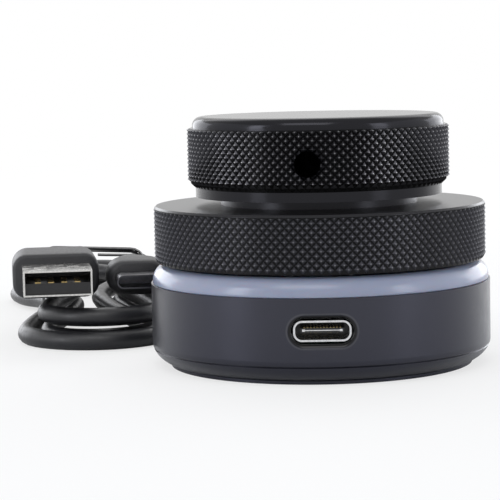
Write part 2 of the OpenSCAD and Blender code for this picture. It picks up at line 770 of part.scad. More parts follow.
// A loop is a run, a half-round fold, a run and a fold, a quarter of its turns each. turn counts
// loops from the waist on the right, away from the plugs. Every loop is drawn in alike there.
function smooth(x) = let (c = min(max(x, 0), 1)) c * c * (3 - 2 * c);
function loop_half(turn) = loop_min + loop_step * abs(turn - loop_reverse);
function waist(x) = abs(x) < run_half ? (1 + cos(180 * x / run_half)) / 2 : 0;
function loop_flat(turn) = let (q = 8 * (turn - floor(turn)), w = loop_half(turn))
    q < 1 ? [-run_half * q, w] :
    q < 3 ? [-run_half - w * sin(90 * (q - 1)), w * cos(90 * (q - 1))] :
    q < 5 ? [run_half * (q - 4), -w] :
    q < 7 ? [run_half + w * sin(90 * (q - 5)), -w * cos(90 * (q - 5))] :
    [run_half * (8 - q), w];
function loop_layer(turn) = smooth((turn - loop_reverse + 0.25) / 0.5);
function loop_point(turn) = let (p = loop_flat(turn), b = waist(p.x))
    [p.x, p.y - sign(p.y) * waist_pull * b,
        lead_d / 2 + layer_step * loop_layer(turn) + waist_lift * b];

// The two ends: from each plug's tail the lead runs straight for a diameter and then eases into
// the outer run on its side of the hank, across first and down later, past the waist.
in_foot = -30;       // where the lead from the small plug has come down to its layer
out_foot = -24;      // where the lead to the large plug leaves its layer
aside_from = -9;     // where both move across
in_x = [plug_tail, plug_tail - lead_d, 2, -2, -6, -10, -14, -19, -25];
out_x = [-25, -20, -15, -10, -6, -2, 2, plug_tail - lead_d, plug_tail];
hank_first = rings_per_loop / 8;
hank_last = rings_per_loop * (loops - 1 / 8);
function plug_blend(x, from) = smooth((x - from) / (plug_tail - lead_d - from));
function toward_plug(p, foot, side, z) = [p.x,
    p.y + (side - p.y) * plug_blend(p.x, aside_from), p.z + (z - p.z) * plug_blend(p.x, foot)];
function along_run(x) = x / run_half / 8;
function hank_line() = concat(
    [for (x = in_x) toward_plug(loop_point(-along_run(x)), in_foot, plug_c_side, plug_c_z)],
    [for (i = [hank_first:hank_last]) loop_point(i / rings_per_loop)],
    [for (x = out_x) toward_plug(loop_point(loops + along_run(x)), out_foot, plug_a_side, plug_a_z)]);

function unit(v) = v / norm(v);
function tangent(line, i) =
    unit(line[min(i + 1, len(line) - 1)] - line[max(i - 1, 0)]);
function ring_at(line, i, r, sides) = let (t = tangent(line, i), s = unit(cross([0, 0, 1], t)),
        n = cross(t, s))
    [for (k = [0:sides - 1]) let (a = 360 * (k + 0.5) / sides) line[i] + r * (cos(a) * s + sin(a) * n)];

module sweep(line, r, sides) {
    rings = len(line);
    points = [for (i = [0:rings - 1]) each ring_at(line, i, r, sides)];
    walls = [for (i = [0:rings - 2]) for (k = [0:sides - 1])
        let (a = i * sides + k, b = i * sides + (k + 1) % sides)
        each [[a, a + sides, b], [b, a + sides, b + sides]]];
    ends = [[for (k = [0:sides - 1]) k], [for (k = [sides - 1:-1:0]) (rings - 1) * sides + k]];
    polyhedron(points, concat(walls, ends), convexity = 10);
}

// The least gap between two stretches of the lead that aren't neighbours along it
function to_segment(p, a, b) = let (u = b - a, s = min(max((p - a) * u / (u * u), 0), 1))
    norm(p - a - s * u);
function least_gap(line) = min([for (i = [0:len(line) - 1]) for (j = [0:len(line) - 2])
    if (abs(i - j) > 5) to_segment(line[i], line[j], line[j + 1])]) - lead_d;
function line_length(line, i = 0) =
    i > len(line) - 2 ? 0 : norm(line[i + 1] - line[i]) + line_length(line, i + 1);

module in_hank() translate(hank_place) rotate(hank_turn) children();

module lead_hank() {
    line = hank_line();
    echo(lead_length = line_length(line), least_self_gap = least_gap(line),
        lowest = min([for (p = line) p.z]) - lead_d / 2);
    color("dimgray") in_hank() sweep(line, lead_d / 2, hank_sides);
}

// Where the lead's strands cross the waist, x along the runs from its middle. The first and the
// last are the two ends, on their way up to the plugs.
function strand(m, x) =
    m == 0 ? toward_plug(loop_point(-along_run(x)), in_foot, plug_c_side, plug_c_z) :
    m == 2 * loops ? toward_plug(loop_point(loops + along_run(x)), out_foot, plug_a_side, plug_a_z) :
    loop_point(m / 2 + (m % 2 == 0 ? -1 : 1) * along_run(x));

module waist_outline(room) hull() for (m = [0:2 * loops]) for (side = [-1, 1])
    let (p = strand(m, side * tie_w / 2)) translate([p.y, p.z]) circle(r = lead_d / 2 + room, $fn = 20);

// A flat wire tie, drawn tight round every strand at the waist
module lead_tie() color("black") in_hank() translate([-tie_w / 2, 0, 0]) rotate([90, 0, 90])
    linear_extrude(tie_w) difference() {
        waist_outline(tie_room + tie_t);
        waist_outline(tie_room);
    }

module in_plug(side, z) in_hank() translate([plug_tail, side, z]) children();

module usb_a_overmould() color("dimgray") in_plug(plug_a_side, plug_a_z) {
    rotate([90, 0, 90]) linear_extrude(plug_a_relief) stadium(plug_a_collar.x, plug_a_collar.y);
    hull() {
        translate([plug_a_relief, 0, 0]) rotate([90, 0, 90]) linear_extrude(0.5)
            stadium(plug_a_shoulder.x, plug_a_shoulder.y, $fn = 24);
        translate([plug_a_relief + plug_a_shoulder.z, 0, 0]) rotate([90, 0, 90])
            linear_extrude(plug_a_body - plug_a_shoulder.z) stadium(plug_a_w, plug_a_t, $fn = 24);
    }
}

module usb_a_shell() color("silver") in_plug(plug_a_side, plug_a_z)
    translate([plug_a_relief + plug_a_body, 0, 0]) difference() {
        translate([0, -plug_a_shell.y / 2, -plug_a_shell.z / 2]) cube(plug_a_shell);
        translate([-through, -plug_a_shell.y / 2 + plug_a_shell_t, -plug_a_shell.z / 2 + plug_a_shell_t])
            cube(plug_a_shell + [2 * through, -2 * plug_a_shell_t, -2 * plug_a_shell_t]);
        for (side = [-1, 1]) translate([6, side * 2.9, 0])
            cube([2.2, 2.2, plug_a_shell.z + through], center = true);
    }

module usb_a_tongue() color("black") in_plug(plug_a_side, plug_a_z)
    translate([plug_a_relief + plug_a_body, 0, -plug_a_shell.z / 2 + plug_a_shell_t]) {
        translate([0, -plug_a_shell.y / 2 + plug_a_shell_t + snug, snug])
            cube([plug_a_shell.x - 0.8, plug_a_shell.y - 2 * plug_a_shell_t - 2 * snug, plug_a_tongue_t]);
    }

module usb_a_contacts() color("goldenrod") in_plug(plug_a_side, plug_a_z)
    translate([plug_a_relief + plug_a_body, 0,
            -plug_a_shell.z / 2 + plug_a_shell_t + snug + plug_a_tongue_t])
        for (i = [-1.5:1.5])
            translate([plug_a_shell.x - plug_a_contact_set - plug_a_contact.x,
                i * plug_a_contact_pitch - plug_a_contact.y / 2, 0]) cube(plug_a_contact);

module usb_c_plug_overmould() color("dimgray") in_plug(plug_c_side, plug_c_z) {
    rotate([0, 90, 0]) cylinder(r1 = lead_d / 2 + 0.5, r2 = lead_d / 2 + 0.8, h = plug_c_relief);
    hull() {
        translate([plug_c_relief, 0, 0]) rotate([90, 0, 90]) linear_extrude(0.5)
            stadium(plug_c_neck.x, plug_c_neck.y, $fn = 24);
        translate([plug_c_relief + plug_c_body - 7, 0, 0]) rotate([90, 0, 90])
            linear_extrude(5.5) stadium(plug_c_w, plug_c_t, $fn = 24);
        translate([plug_c_relief + plug_c_body - 0.5, 0, 0]) rotate([90, 0, 90])
            linear_extrude(0.5) stadium(plug_c_w - 1.6, plug_c_t - 0.8, $fn = 24);
    }
}

module usb_c_plug_shell() color("dimgray") in_plug(plug_c_side, plug_c_z)
    translate([plug_c_relief + plug_c_body, 0, 0]) rotate([90, 0, 90]) difference() {
        linear_extrude(plug_c_shell.x) stadium(plug_c_shell.y, plug_c_shell.z);
        translate([0, 0, 0.6]) linear_extrude(plug_c_shell.x)
            stadium(plug_c_shell.y - 2 * plug_c_shell_t, plug_c_shell.z - 2 * plug_c_shell_t);
    }

// ---------------------------------------------------------------- nodes

foot_pad();
bottom_cover();
cover_screws();
base_shell();
light_ring();
led_board();
leds();
led_board_screws();
main_board();
board_screws();
controller_chip();
board_parts();
board_connector();
usb_socket_shell();
usb_socket_tongue();
usb_socket_plate();
usb_socket_contacts();
encoder_housing();
encoder_bushing();
encoder_pins();
bushing_washer();
bushing_nut();
outer_shaft();
dial_core();
lower_dial();
switch_plunger();
inner_shaft();
grub_screw();
volume_knob();
lead_hank();
lead_tie();
usb_a_shell();
usb_a_tongue();
usb_a_contacts();
usb_a_overmould();
usb_c_plug_shell();
usb_c_plug_overmould();
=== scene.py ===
import math

import bmesh
import bpy
from mathutils import Matrix, Quaternion, Vector, geometry


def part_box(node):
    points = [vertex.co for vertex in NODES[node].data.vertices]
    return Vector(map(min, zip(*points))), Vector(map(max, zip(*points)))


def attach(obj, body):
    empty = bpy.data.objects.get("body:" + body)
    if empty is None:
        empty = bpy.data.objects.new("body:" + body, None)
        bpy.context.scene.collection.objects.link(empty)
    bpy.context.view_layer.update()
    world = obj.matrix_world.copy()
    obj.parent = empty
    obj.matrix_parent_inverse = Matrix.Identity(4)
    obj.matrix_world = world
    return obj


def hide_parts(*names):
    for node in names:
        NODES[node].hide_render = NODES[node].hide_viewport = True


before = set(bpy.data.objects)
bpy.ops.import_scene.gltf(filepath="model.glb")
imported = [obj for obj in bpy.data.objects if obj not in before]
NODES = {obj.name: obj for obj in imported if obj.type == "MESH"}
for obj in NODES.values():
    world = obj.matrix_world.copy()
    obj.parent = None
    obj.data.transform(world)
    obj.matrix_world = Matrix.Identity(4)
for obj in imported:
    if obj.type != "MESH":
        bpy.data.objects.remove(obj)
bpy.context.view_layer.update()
MM = 0.001


# ------------------------------------------------------------------ camera

def make_camera():
    """The pinhole camera fitted to the edges seen in the photograph: a view from straight in front
    and a little above, turned about the upright and rolled slightly."""
    place = Vector((-11.55, -330, 51.1)) * MM
    turn, pitch, roll = math.radians(1.6), 0.098, 0.0211
    focal_px, image_px = 2000.6, 500
    about_z = Matrix.Rotation(turn, 4, "Z")
    levelled = Matrix.Rotation(math.pi / 2 - pitch, 4, "X")
    rolled = Matrix.Rotation(-roll, 4, "Z")
    data = bpy.data.cameras.new("camera")
    data.sensor_width = 36
    data.lens = data.sensor_width * focal_px / image_px
    data.clip_start, data.clip_end = 0.01, 20
    cam = bpy.data.objects.new("camera", data)
    cam.matrix_world = about_z @ Matrix.Translation(place) @ levelled @ rolled
    bpy.context.scene.collection.objects.link(cam)
    bpy.context.scene.camera = cam


make_camera()


# ------------------------------------------------------------------ node helpers

class Shade:
    """A material under construction. Each call adds nodes and returns the output of the last."""

    NAMES = {"color": "Base Color", "rough": "Roughness", "metal": "Metallic", "ior": "IOR",
             "normal": "Normal", "coat": "Coat Weight", "coat_rough": "Coat Roughness",
             "coat_normal": "Coat Normal", "specular": "Specular IOR Level",
             "tint": "Specular Tint", "subsurface": "Subsurface Weight",
             "sub_scale": "Subsurface Scale"}

    def __init__(self, name):
        self.mat = bpy.data.materials.new(name)
        self.mat.use_nodes = True
        self.tree = self.mat.node_tree
        self.tree.nodes.clear()
        self.out = self.tree.nodes.new("ShaderNodeOutputMaterial")
        self.bsdf = self.tree.nodes.new("ShaderNodeBsdfPrincipled")
        self.tree.links.new(self.bsdf.outputs[0], self.out.inputs["Surface"])
        self.place = self.add("ShaderNodeTexCoord").outputs["Object"]

    def add(self, kind, **settings):
        node = self.tree.nodes.new(kind)
        for key, value in settings.items():
            setattr(node, key, value)
        return node

    def link(self, source, socket):
        """Feeds a socket from an output, a number or a colour, which is a tuple of three."""
        if isinstance(source, bpy.types.NodeSocket):
            self.tree.links.new(source, socket)
        else:
            socket.default_value = (*source, 1) if isinstance(source, tuple) else source

    def set(self, **values):
        for key, value in values.items():
            self.link(value, self.bsdf.inputs[self.NAMES[key]])
        return self.mat

    # Arithmetic

    def math(self, how, a, b=0.0):
        node = self.add("ShaderNodeMath", operation=how)
        self.link(a, node.inputs[0])
        self.link(b, node.inputs[1])
        return node.outputs[0]

    def plus(self, a, b):
        return self.math("ADD", a, b)

    def minus(self, a, b):
        return self.math("SUBTRACT", a, b)

    def times(self, a, b):
        return self.math("MULTIPLY", a, b)

    def hypot(self, a, b):
        """The distance whose two parts, at right angles, are a and b."""
        return self.math("SQRT", self.plus(self.times(a, a), self.times(b, b)))

    def ramp(self, value, low, high, to_low=0.0, to_high=1.0, interpolation="SMOOTHSTEP"):
        """to_low up to low and to_high from high, and a soft or a straight way between."""
        node = self.add("ShaderNodeMapRange", interpolation_type=interpolation)
        for name, v in (("Value", value), ("From Min", low), ("From Max", high),
                        ("To Min", to_low), ("To Max", to_high)):
            self.link(v, node.inputs[name])
        return node.outputs["Result"]

    def mix(self, factor, a, b):
        """Colour a where the factor is 0, and b where it is 1."""
        factor_at, a_at, b_at, result_at = 0, 6, 7, 2       # places of the node's colour sockets
        node = self.add("ShaderNodeMix", data_type="RGBA")
        self.link(factor, node.inputs[factor_at])
        self.link(a, node.inputs[a_at])
        self.link(b, node.inputs[b_at])
        return node.outputs[result_at]

    # Texture

    def noise_along(self, source, socket, dimensions, scale, detail, rough):
        node = self.add("ShaderNodeTexNoise", noise_dimensions=dimensions)
        for name, v in (("Scale", scale), ("Detail", detail), ("Roughness", rough),
                        (socket, source)):
            self.link(v, node.inputs[name])
        return node.outputs["Fac"]

    def noise(self, scale, detail=2.0, rough=0.5, stretch=None):
        vector = self.place
        if stretch:
            mapping = self.add("ShaderNodeMapping")
            mapping.inputs["Scale"].default_value = stretch
            self.link(vector, mapping.inputs["Vector"])
            vector = mapping.outputs[0]
        return self.noise_along(vector, "Vector", "3D", scale, detail, rough)

    def lines(self, along, scale):
        """Noise along one value only: turned rings and the like."""
        return self.noise_along(along, "W", "1D", scale, 3.0, 0.6)

    def bump(self, height, distance, strength=1.0):
        node = self.add("ShaderNodeBump")
        node.inputs["Strength"].default_value = strength
        node.inputs["Distance"].default_value = distance
        self.link(height, node.inputs["Height"])
        return node.outputs[0]

    # Place on the object

    def xyz(self):
        node = self.add("ShaderNodeSeparateXYZ")
        self.link(self.place, node.inputs[0])
        return node.outputs

    def radius(self):
        x, y, _ = self.xyz()
        return self.hypot(x, y)

    def upright_normal(self):
        """The way out from the upright axis, as a normal in the world."""
        x, y, _ = self.xyz()
        level = self.add("ShaderNodeCombineXYZ")
        self.link(x, level.inputs[0])
        self.link(y, level.inputs[1])
        turned = self.add("ShaderNodeVectorTransform", vector_type="NORMAL",
                          convert_from="OBJECT", convert_to="WORLD")
        self.link(level.outputs[0], turned.inputs[0])
        unit = self.add("ShaderNodeVectorMath", operation="NORMALIZE")
        self.link(turned.outputs[0], unit.inputs[0])
        return unit.outputs[0]

    def beside_line(self, way, height):
        """Distance from the level line through the upright axis along way, at the height. Behind the
        axis 1 m is added, so that only the line's front half counts."""
        fade = 2 * MM
        x, y, z = self.xyz()
        across = self.minus(self.times(x, way[1]), self.times(y, way[0]))
        near = self.hypot(across, self.minus(z, height))
        return self.plus(near, self.ramp(y, -fade, 0.0))

    def round_slot(self, half_w, half_h, height):
        """Distance outside a slot with round ends in the front face, centred on x = 0."""
        x, _, z = self.xyz()
        beyond = self.math("MAXIMUM", self.minus(self.math("ABSOLUTE", x), half_w - half_h), 0.0)
        return self.minus(self.hypot(beyond, self.minus(z, height)), half_h)


def dress(material, *names):
    for name in names:
        for slot in NODES[name].material_slots:
            slot.material = material


# ------------------------------------------------------------------ metals

# As in part.scad: heights of smooth metal on the dial and the knob, depths of their knurls, half
# the width and height of the socket and its middle's height, and the grub screw's bore
NECK_H, DIAL_LIP_H = 2.7 * MM, 0.4 * MM
SKIRT_H, CAP_H = 1.55 * MM, 1.85 * MM
DIAL_KNURL_DEPTH, KNOB_KNURL_DEPTH = 0.4 * MM, 0.5 * MM
SOCKET_HALF, SOCKET_Z = (4.47 * MM, 1.63 * MM), 8.63 * MM
GRUB_BORE = (0.0872, 0.9962), 33.8 * MM, 2.0 * MM       # direction, height and radius

# The base round its socket: where the front starts, and how far outside the socket's metal the
# painted shade in the pocket ends, and the paler cut edge begins and ends. The cut edge is partly
# a painted highlight of the pocket's lip
FRONT_Y = -10 * MM, -9 * MM
POCKET_SHADE_END = 0.78 * MM, 0.92 * MM
CUT_START, CUT_END = (0.86 * MM, 1.0 * MM), (1.05 * MM, 1.25 * MM)
POCKET_SHADE_COLOR, CUT_EDGE_AND_HIGHLIGHT_COLOR = (0.003, 0.003, 0.004), (0.055, 0.056, 0.066)

# A knurl, by the share of the way up from its hollows to its points: where the painted shade in
# the hollows ends, and where wear, which is partly a painted highlight on the points, and shine
# set in and are full
HOLLOW_SHADE_UP, WEAR_AND_HIGHLIGHT_UP, SHINY_UP = (0.0, 0.42), (0.64, 0.95), (0.5, 0.9)
SEAM = 0.03 * MM                                        # half the width in which it turns smooth

# A bore in a knurl: how far outside it the painted shade ends, and where wear with its painted
# highlight, and shine, come back
BORE_SHADE_END, BORE_CLEAR = (0.04 * MM, 0.1 * MM), (0.3 * MM, 0.9 * MM)
BORE_SHADE_COLOR = (0.0015, 0.0015, 0.002)


def past(size, ends):
    """Both ends of a ramp, counted from a size."""
    return [size + end for end in ends]


def anodised(name, dark, light, rough):
    """Bead-blasted and anodised aluminium: a fine grain, a slow drift in tone, and a socket pocket
    painted black inside as its shade, with a paler cut edge that is partly a painted highlight
    of its lip."""
    grain_scale, drift_scale, rough_scale, grain_depth = 6500, 45, 300, 0.01 * MM
    drift_share, grain_share = 0.6, 0.4
    s = Shade(name)
    grain = s.noise(grain_scale, 2, 0.6)
    tone = s.plus(s.times(s.noise(drift_scale, 3), drift_share), s.times(grain, grain_share))
    outside = s.round_slot(*SOCKET_HALF, SOCKET_Z)
    front = s.ramp(s.xyz()[1], *FRONT_Y, 1.0, 0.0)
    # the pocket is painted black as shade; the paler cut edge is partly a painted highlight
    pocket = s.times(front, s.ramp(outside, *POCKET_SHADE_END, 1.0, 0.0))
    cut = s.times(s.ramp(outside, *CUT_START), s.ramp(outside, *CUT_END, 1.0, 0.0))
    colour = s.mix(s.times(cut, front), s.mix(tone, dark, light), CUT_EDGE_AND_HIGHLIGHT_COLOR)
    return s.set(color=s.mix(pocket, colour, POCKET_SHADE_COLOR), metal=0.9,
                 rough=s.ramp(s.noise(rough_scale, 3), 0.2, 0.8, rough - 0.04, rough + 0.05),
                 coat=0.5, coat_rough=0.22, normal=s.bump(grain, grain_depth))


def knurled(name, point_r, depth, smooth_z, hollow_shade, body, tip, rough, shine,
            plain, plain_rough, ring_depth, bore=None, graze=None):
    """A blackened knurl, paler on its points as wear and as a painted highlight, with painted shade
    in its hollows, turned smooth outside the heights in smooth_z, and painted black inside its
    bore as its shade. Its points together shine as the cylinder they were cut from, which is its
    coat: shine is the coat's weight below and on the points. Where graze is given, the smooth
    metal above the knurl keeps about that share of its shine at a grazing angle."""
    speck_scale, grain_scale, ring_scale, bump_depth = 4200, 7000, 5200, 0.01 * MM
    s = Shade(name)
    z = s.xyz()[2]
    radius = s.radius()
    up = s.ramp(radius, point_r - depth, point_r, interpolation="LINEAR")
    speck = s.noise(speck_scale, 3, 0.65)
    low, high = smooth_z
    above = s.ramp(z, high - SEAM, high + SEAM)
    smooth = s.plus(s.ramp(z, low - SEAM, low + SEAM, 1.0, 0.0), above)
    cut = s.minus(1.0, smooth)
    # paler points: wear, and partly a painted highlight
    wear_and_highlight = s.times(s.ramp(up, *WEAR_AND_HIGHLIGHT_UP), s.ramp(speck, 0.3, 0.7, 0.3, 1.0))
    coat = s.times(s.ramp(up, *SHINY_UP, *shine), cut)
    if bore:
        way, bore_z, bore_r = bore
        to_bore = s.beside_line(way, bore_z)
        clear = s.ramp(to_bore, *past(bore_r, BORE_CLEAR))
        wear_and_highlight = s.times(wear_and_highlight, clear)
        coat = s.times(coat, clear)
    # painted shade darkens the hollows
    colour = s.mix(s.ramp(up, *HOLLOW_SHADE_UP, 1.0, 0.0), s.mix(wear_and_highlight, body, tip), hollow_shade)
    colour = s.mix(smooth, colour, plain)
    if bore:
        # painted shade: black inside the bore
        inside = s.ramp(to_bore, *past(bore_r, BORE_SHADE_END), 1.0, 0.0)
        colour = s.mix(inside, colour, BORE_SHADE_COLOR)
    if graze:
        s.set(tint=s.mix(above, (1, 1, 1), (graze, graze, graze)))
    grain = s.times(s.noise(grain_scale, 2, 0.6), cut)
    rings = s.times(s.lines(radius, ring_scale), s.times(smooth, ring_depth))
    even = s.ramp(speck, 0.2, 0.8, rough - 0.05, rough + 0.1)
    drop = s.times(smooth, s.minus(even, plain_rough))
    return s.set(color=colour, metal=0.92, rough=s.minus(even, drop),
                 coat=coat, coat_rough=0.24, coat_normal=s.upright_normal(),
                 normal=s.bump(s.plus(grain, rings), bump_depth, 0.8))


def plain_metal(name, color, rough, stretch=(1, 1, 1)):
    """Bare metal with a fine grain, which is drawn out along an axis whose stretch is below 1."""
    grain_scale, rough_scale, grain_depth, darkest = 2500, 600, 0.004 * MM, 0.8
    s = Shade(name)
    grain = s.noise(grain_scale, 3, 0.6, stretch)
    dark = tuple(c * darkest for c in color)
    return s.set(color=s.mix(s.ramp(grain, 0.3, 0.7), dark, color), metal=1.0,
                 rough=s.ramp(s.noise(rough_scale, 2), 0.25, 0.75, rough - 0.05, rough + 0.06),
                 normal=s.bump(grain, grain_depth))


def knurl_of(node, depth, below, above):
    """How a node's knurl lies: its points' radius, its depth, and the heights between which it
    lies, as far above the node's foot and below its top as given."""
    low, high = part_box(node)
    return {"point_r": high[0], "depth": depth, "smooth_z": (low[2] + below, high[2] - above)}


dress(anodised("base_anodised", (0.022, 0.0225, 0.033), (0.032, 0.033, 0.048), 0.33),
      "base_shell", "bottom_cover")
# The dial's knurl runs down to its foot, so its lower height is set below that
dress(knurled("dial_black", **knurl_of("lower_dial", DIAL_KNURL_DEPTH, -1 * MM, NECK_H + DIAL_LIP_H),
              # darkest colour: painted shade in the hollows; tip colour: wear and a painted highlight
              hollow_shade=(0.005, 0.005, 0.006), body=(0.026, 0.026, 0.032), tip=(0.12, 0.12, 0.135),
              rough=0.32, shine=(0.15, 0.8),
              plain=(0.025, 0.025, 0.028), plain_rough=0.28, ring_depth=1.0),
      "lower_dial")
dress(knurled("knob_black", **knurl_of("volume_knob", KNOB_KNURL_DEPTH, SKIRT_H, CAP_H),
              # darkest colour: painted shade in the hollows; tip colour: wear and a painted highlight
              hollow_shade=(0.004, 0.004, 0.005), body=(0.042, 0.042, 0.048), tip=(0.36, 0.36, 0.38),
              rough=0.19, shine=(0.06, 0.85),
              plain=(0.020, 0.020, 0.023), plain_rough=0.16, ring_depth=0.35,
              bore=GRUB_BORE, graze=0.75),
      "volume_knob")
dress(plain_metal("steel", (0.62, 0.62, 0.63), 0.3), "cover_screws", "led_board_screws", "board_screws",
      "encoder_bushing", "bushing_washer", "bushing_nut", "outer_shaft", "inner_shaft")
dress(plain_metal("tin", (0.70, 0.70, 0.71), 0.24), "usb_socket_shell", "usb_socket_plate",
      "encoder_pins")
dress(plain_metal("nickel", (0.66, 0.65, 0.63), 0.22, (1, 1, 0.2)), "usb_a_shell")
dress(plain_metal("dark_nickel", (0.10, 0.10, 0.11), 0.32), "usb_c_plug_shell")
dress(plain_metal("black_steel", (0.004, 0.004, 0.005), 0.55), "grub_screw")
dress(plain_metal("turned_brass", (0.70, 0.52, 0.24), 0.28), "dial_core")
dress(plain_metal("contact_gold", (0.83, 0.62, 0.27), 0.2), "usb_socket_contacts", "usb_a_contacts")


# ------------------------------------------------------------------ plastics, rubber, boards

def moulded(name, color, rough, grain_scale=3000, grain_depth=0.012 * MM, light=1.35):
    """Moulded plastic or rubber: a fine grain, and a tone that drifts up to light times as bright."""
    drift_scale = 120
    s = Shade(name)
    grain = s.noise(grain_scale, 3, 0.6)
    bright = tuple(min(1.0, c * light) for c in color)
    return s.set(color=s.mix(s.ramp(s.noise(drift_scale, 3), 0.25, 0.75), color, bright),
                 rough=s.ramp(grain, 0.25, 0.75, rough - 0.06, rough + 0.08),
                 normal=s.bump(grain, grain_depth))


def milky_ring():
    """Translucent ring: cloudy inside, with a polished skin that is very slightly uneven."""
    cloud_scale, skin_scale, skin_depth = 160, 900, 0.004 * MM
    s = Shade("milky_ring")
    cloud = s.noise(cloud_scale, 3)
    return s.set(color=s.mix(cloud, (0.24, 0.265, 0.36), (0.29, 0.32, 0.43)), rough=0.2,
                 subsurface=0.3, sub_scale=1.5 * MM, ior=1.49,
                 normal=s.bump(s.noise(skin_scale, 2), skin_depth))


def circuit_board():
    """Green mask over the copper, with faint tracks."""
    rough_scale, track_depth = 400, 0.02 * MM
    s = Shade("circuit_board")
    tracks = s.add("ShaderNodeTexBrick")
    for name, value in (("Scale", 260), ("Mortar Size", 0.06), ("Vector", s.place),
                        ("Color1", (0.010, 0.085, 0.040)), ("Color2", (0.013, 0.105, 0.050)),
                        ("Mortar", (0.025, 0.17, 0.085))):
        s.link(value, tracks.inputs[name])
    return s.set(color=tracks.outputs["Color"],
                 rough=s.ramp(s.noise(rough_scale, 2), 0.2, 0.8, 0.28, 0.4),
                 normal=s.bump(tracks.outputs["Fac"], track_depth))


JACKET = moulded("lead_jacket", (0.011, 0.011, 0.013), 0.42, 1500, 0.010 * MM)
OVERMOULD = moulded("overmould", (0.016, 0.016, 0.018), 0.52, 2600, 0.030 * MM)
TIE = moulded("tie_plastic", (0.010, 0.010, 0.011), 0.34, 1200, 0.008 * MM)
dress(milky_ring(), "light_ring")
dress(circuit_board(), "main_board", "led_board")
dress(moulded("black_plastic", (0.010, 0.010, 0.011), 0.38),
      "usb_socket_tongue", "encoder_housing", "controller_chip", "usb_a_tongue")
dress(moulded("white_plastic", (0.62, 0.62, 0.58), 0.4, light=1.1),
      "switch_plunger", "leds", "board_connector")
dress(moulded("part_bodies", (0.22, 0.15, 0.09), 0.4), "board_parts")
dress(moulded("pad_rubber", (0.014, 0.014, 0.015), 0.62, 1800, 0.030 * MM), "foot_pad")


# ------------------------------------------------------------------ lead, from part.scad's formula

# The hank's own frame, in mm: X along the runs towards the plugs, Y to the right of them and Z up
PLACE, TURN = Vector((-44.2, 58.8, 0)), math.radians(-81.4)
LEAD_D, RUN_HALF = 3.3, 31
LOOPS, RINGS_PER_LOOP, REVERSE = 3.5, 24, 2.08
LOOP_STEP, LOOP_MIN, LAYER_STEP, PULL = 3.98, 7.6, 3.85, 6.5
EIGHTHS = 8                             # of a loop: half a run is one, and a fold is two
CLIMB = 0.5                             # loops in which the lead climbs to its upper layer
TIE_T, TIE_ROOM = 0.8, 0.35
LIFT = TIE_T + TIE_ROOM
TAIL, REST = 9, 8
# The large plug's names begin with A and the small one's with C
A_SIDE, A_BODY, A_COLLAR, A_RELIEF = -7.9, 17, (9, 6), 6
C_SIDE, C_BODY, C_RELIEF = 6.8, 18, 5
A_SIZE, C_SIZE = (15.5, 8), (11, 6.4)
A_Z, C_Z = REST + A_SIZE[1] / 2, REST + C_SIZE[1] / 2
IN_FOOT, OUT_FOOT, ASIDE = -30, -24, -9
SPLINE_STEPS = 4                        # points of the smooth lead for each of the source's


def smooth(x):
    """0 up to 0 and 1 from 1, with a soft way between."""
    c = min(max(x, 0), 1)
    return c * c * (3 - 2 * c)


def loop_half(turn):
    return LOOP_MIN + LOOP_STEP * abs(turn - REVERSE)


def waist(x):
    """1 in the middle of the runs, where the tie draws them in, and 0 from their ends on."""
    return (1 + math.cos(math.pi * x / RUN_HALF)) / 2 if abs(x) < RUN_HALF else 0


def loop_point(turn):
    """The lead's middle after so many loops, counted from the waist on the right, away from the
    plugs. A loop is a run, a half-round fold, a run and a fold, a quarter of its turns each."""
    q, w = EIGHTHS * (turn - math.floor(turn)), loop_half(turn)
    far, near = math.pi / 2 * (q - 1), math.pi / 2 * (q - 5)    # angle gone round either fold
    if q < 1:
        x, y = -RUN_HALF * q, w
    elif q < 3:
        x, y = -RUN_HALF - w * math.sin(far), w * math.cos(far)
    elif q < 5:
        x, y = RUN_HALF * (q - 4), -w
    elif q < 7:
        x, y = RUN_HALF + w * math.sin(near), -w * math.cos(near)
    else:
        x, y = RUN_HALF * (EIGHTHS - q), w
    drawn = waist(x)
    layer = smooth((turn - REVERSE + CLIMB / 2) / CLIMB)
    return Vector((x, y - math.copysign(PULL * drawn, y),
                   LEAD_D / 2 + LAYER_STEP * layer + LIFT * drawn))


def along_run(x):
    """Loops from the middle of a run to x."""
    return x / RUN_HALF / EIGHTHS


def blend(x, start):
    return smooth((x - start) / (TAIL - LEAD_D - start))


def toward_plug(p, foot, side, z):
    """A point of an outer run, on its way across and up to where the lead enters a plug."""
    return Vector((p.x, p.y + (side - p.y) * blend(p.x, ASIDE), p.z + (z - p.z) * blend(p.x, foot)))


def lead_in(x):
    """The start of the lead, from the small plug, at x."""
    return toward_plug(loop_point(-along_run(x)), IN_FOOT, C_SIDE, C_Z)


def lead_out(x):
    """The end of the lead, to the large plug, at x."""
    return toward_plug(loop_point(LOOPS + along_run(x)), OUT_FOOT, A_SIDE, A_Z)


def hank_line():
    """Points along the whole lead, from the small plug to the large one."""
    in_x = [TAIL, TAIL - LEAD_D, 2, -2, -6, -10, -14, -19, -25]
    out_x = [-25, -20, -15, -10, -6, -2, 2, TAIL - LEAD_D, TAIL]
    first, last = RINGS_PER_LOOP // EIGHTHS, int(RINGS_PER_LOOP * (LOOPS - 1 / EIGHTHS))
    return ([lead_in(x) for x in in_x]
            + [loop_point(i / RINGS_PER_LOOP) for i in range(first, last + 1)]
            + [lead_out(x) for x in out_x])


def in_hank(p):
    """A point of the hank's own frame, in mm, as a place in the row's frame, in metres."""
    c, s = math.cos(TURN), math.sin(TURN)
    return Vector((c * p[0] - s * p[1] + PLACE.x, s * p[0] + c * p[1] + PLACE.y, p[2])) * MM


